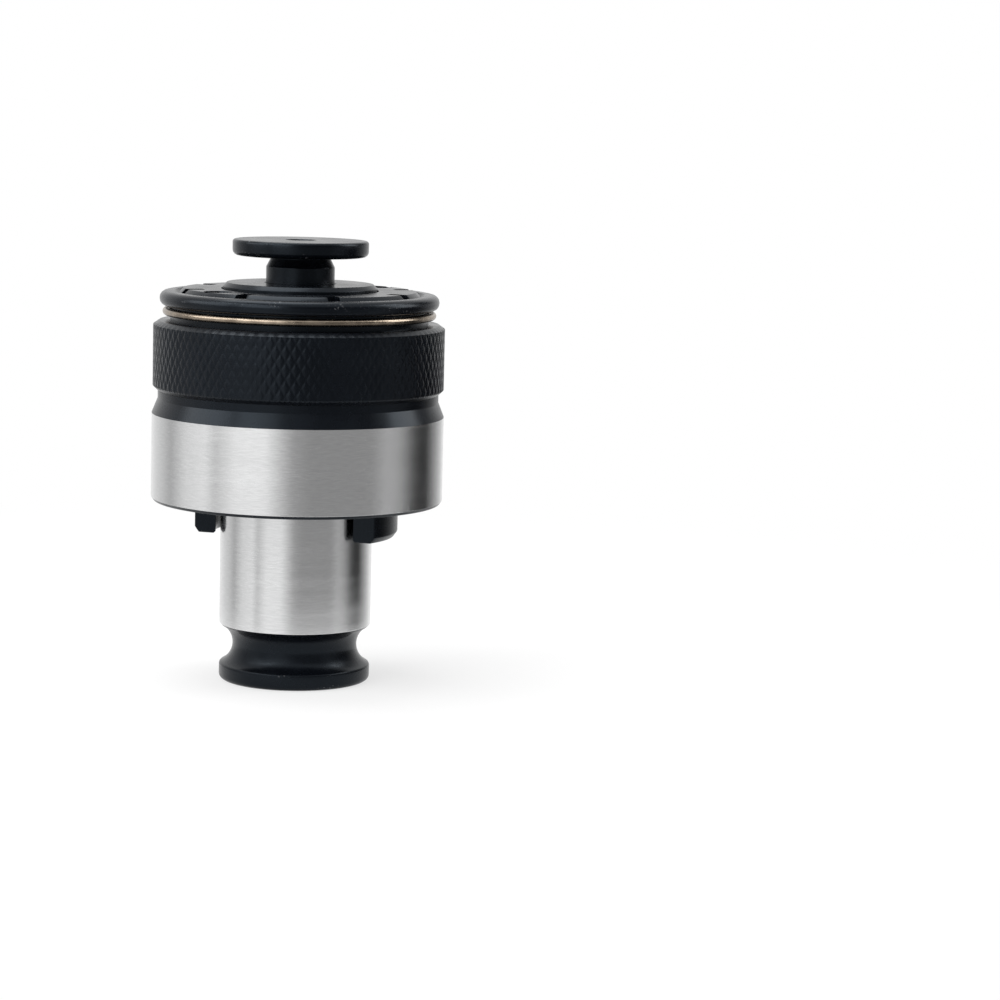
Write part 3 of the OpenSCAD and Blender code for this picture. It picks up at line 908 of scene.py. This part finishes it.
def floor(glow, near=0.06, far=0.16):
    """Pale floor with a faint shadow; its share of plain white is glow near the object and 1 far away."""
    half, drop = 3.0, 0.00002
    corners = [(-half, -half, 0), (half, -half, 0), (half, half, 0), (-half, half, 0)]
    mesh = bpy.data.meshes.new("floor")
    mesh.from_pydata(corners, [], [(0, 1, 2, 3)])
    obj = bpy.data.objects.new("floor", mesh)
    scene.collection.objects.link(obj)
    obj.location.z = -drop
    material, tree = bare_material("floor_white")
    output = tree.nodes.new("ShaderNodeOutputMaterial")
    mix = tree.nodes.new("ShaderNodeMixShader")
    lit = tree.nodes.new("ShaderNodeBsdfDiffuse")
    lit.inputs["Color"].default_value = (0.9, 0.9, 0.9, 1)
    white = tree.nodes.new("ShaderNodeEmission")
    place = tree.nodes.new("ShaderNodeTexCoord")
    away = tree.nodes.new("ShaderNodeVectorMath")
    away.operation = "LENGTH"
    plain = tree.nodes.new("ShaderNodeMapRange")
    plain.interpolation_type = "SMOOTHSTEP"
    for name, number in (("From Min", near), ("From Max", far), ("To Min", glow), ("To Max", 1)):
        plain.inputs[name].default_value = number
    share = tree.nodes.new("ShaderNodeMath")
    share.operation = "MULTIPLY"
    tree.links.new(place.outputs["Object"], away.inputs[0])
    tree.links.new(away.outputs["Value"], plain.inputs["Value"])
    tree.links.new(plain.outputs["Result"], share.inputs[1])
    tree.links.new(seen_directly(tree), share.inputs[0])
    tree.links.new(share.outputs[0], mix.inputs["Fac"])
    tree.links.new(lit.outputs[0], mix.inputs[1])
    tree.links.new(white.outputs[0], mix.inputs[2])
    tree.links.new(mix.outputs[0], output.inputs["Surface"])
    mesh.materials.append(material)


def softbox(name, azimuth, elevation, distance, width, height, power):
    """Rectangular area light that points at the middle of the object."""
    data = bpy.data.lights.new(name, "AREA")
    data.shape = "RECTANGLE"
    data.size, data.size_y = width, height
    data.energy = power
    obj = bpy.data.objects.new(name, data)
    scene.collection.objects.link(obj)
    aim = Vector((0, 0, hub_top / 2 * MM))
    back = Vector((math.sin(azimuth) * math.cos(elevation), -math.cos(azimuth) * math.cos(elevation),
                   math.sin(elevation)))
    obj.location = aim + back * distance
    obj.rotation_mode = "QUATERNION"
    obj.rotation_quaternion = (-back).to_track_quat("-Z", "Y")


def paper(stops):
    """Glowing paper; a stop is (degrees from the camera's side about the axis, brightness)."""
    material, tree = bare_material("tent_paper")
    place = tree.nodes.new("ShaderNodeTexCoord")
    split = tree.nodes.new("ShaderNodeSeparateXYZ")
    ahead = tree.nodes.new("ShaderNodeMath")
    ahead.operation = "MULTIPLY"
    ahead.inputs[1].default_value = -1
    angle = tree.nodes.new("ShaderNodeMath")
    angle.operation = "ARCTAN2"
    share = tree.nodes.new("ShaderNodeMapRange")
    share.inputs["From Min"].default_value = -math.pi
    share.inputs["From Max"].default_value = math.pi
    ramp = tree.nodes.new("ShaderNodeValToRGB")
    glow = tree.nodes.new("ShaderNodeEmission")
    output = tree.nodes.new("ShaderNodeOutputMaterial")
    tree.links.new(place.outputs["Object"], split.inputs[0])
    tree.links.new(split.outputs["Y"], ahead.inputs[0])
    tree.links.new(split.outputs["X"], angle.inputs[0])
    tree.links.new(ahead.outputs[0], angle.inputs[1])
    tree.links.new(angle.outputs[0], share.inputs["Value"])
    tree.links.new(share.outputs[0], ramp.inputs["Fac"])
    tree.links.new(ramp.outputs["Color"], glow.inputs["Color"])
    tree.links.new(glow.outputs[0], output.inputs["Surface"])
    elements = ramp.color_ramp.elements
    while len(elements) < len(stops):
        elements.new(0.5)
    for element, (degrees, value) in zip(elements, stops):
        element.position = (degrees + 180) / 360
        element.color = (value, value, value, 1)
    return material


def panel_light(strength):
    """Even light of a panel."""
    material, tree = bare_material("panel_light")
    glow = tree.nodes.new("ShaderNodeEmission")
    glow.inputs["Strength"].default_value = strength
    output = tree.nodes.new("ShaderNodeOutputMaterial")
    tree.links.new(glow.outputs[0], output.inputs["Surface"])
    return material


def reflected_wall(name, azimuth, section, start, end, material):
    """Part of a turned wall that only reflections see, from one angle to another about the camera's side."""
    step = 4
    angles = np.radians(np.linspace(start, end, 2 + int((end - start) / step)))
    count = len(section)
    verts = [(r * math.sin(a) * MM, -r * math.cos(a) * MM, z * MM) for a in angles for r, z in section]
    faces = [(i * count + k, (i + 1) * count + k, (i + 1) * count + k + 1, i * count + k + 1)
             for i in range(len(angles) - 1) for k in range(count - 1)]
    mesh = bpy.data.meshes.new(name)
    mesh.from_pydata(verts, [], faces)
    mesh.materials.append(material)
    material.cycles.emission_sampling = "NONE"
    obj = bpy.data.objects.new(name, mesh)
    scene.collection.objects.link(obj)
    obj.rotation_euler.z = azimuth
    for ray in ("camera", "diffuse", "transmission", "volume_scatter", "shadow"):
        setattr(obj, f"visible_{ray}", False)


def light_tent(azimuth):
    """Paper that is white at the left and behind, grey in front and dark at the right, with five panels."""
    white, grey_front, dark = 1.0, 0.33, 0.04
    behind_left = [(-180, white), (-135, 0.9), (-110, 0.7), (-97, 0.5)]
    left = [(-80, 0.85), (-62, 0.95), (-54, 0.65), (-40, white), (-20, white)]
    front = [(-3, 0.42), (8, grey_front), (48, grey_front), (60, 0.48), (70, 0.4)]
    right = [(84, 0.1), (92, dark), (101, dark), (120, 0.45), (140, 0.9), (180, white)]
    wall = [(45, 0), (45, 34), (200, 60), (200, 190)]
    reflected_wall("light_tent", azimuth, wall, -180, 180, paper(behind_left + left + front + right))
    panel = [(198, 78), (198, 165)]
    panels = [(-102, -60, 3.6), (-50, -18, 3.4), (-10, 72, 0.1), (80, 108, 4.2), (112, 138, 0.1)]
    for number, (start, end, strength) in enumerate(panels, 1):
        reflected_wall(f"panel_{number}", azimuth, panel, start, end, panel_light(strength))


view_azimuth = camera()
world(ambient=0.55)
floor(glow=0.64)
softbox("overhead", view_azimuth - math.radians(125), math.radians(76), distance=0.5,
        width=0.35, height=0.35, power=1.4)
softbox("left_strip", view_azimuth - math.radians(58), math.radians(38), distance=0.5,
        width=0.55, height=0.12, power=1.5)
softbox("right_strip", view_azimuth + math.radians(95), math.radians(38), distance=0.5,
        width=0.2, height=0.12, power=0.5)
light_tent(view_azimuth)
scene.view_settings.view_transform = "Standard"
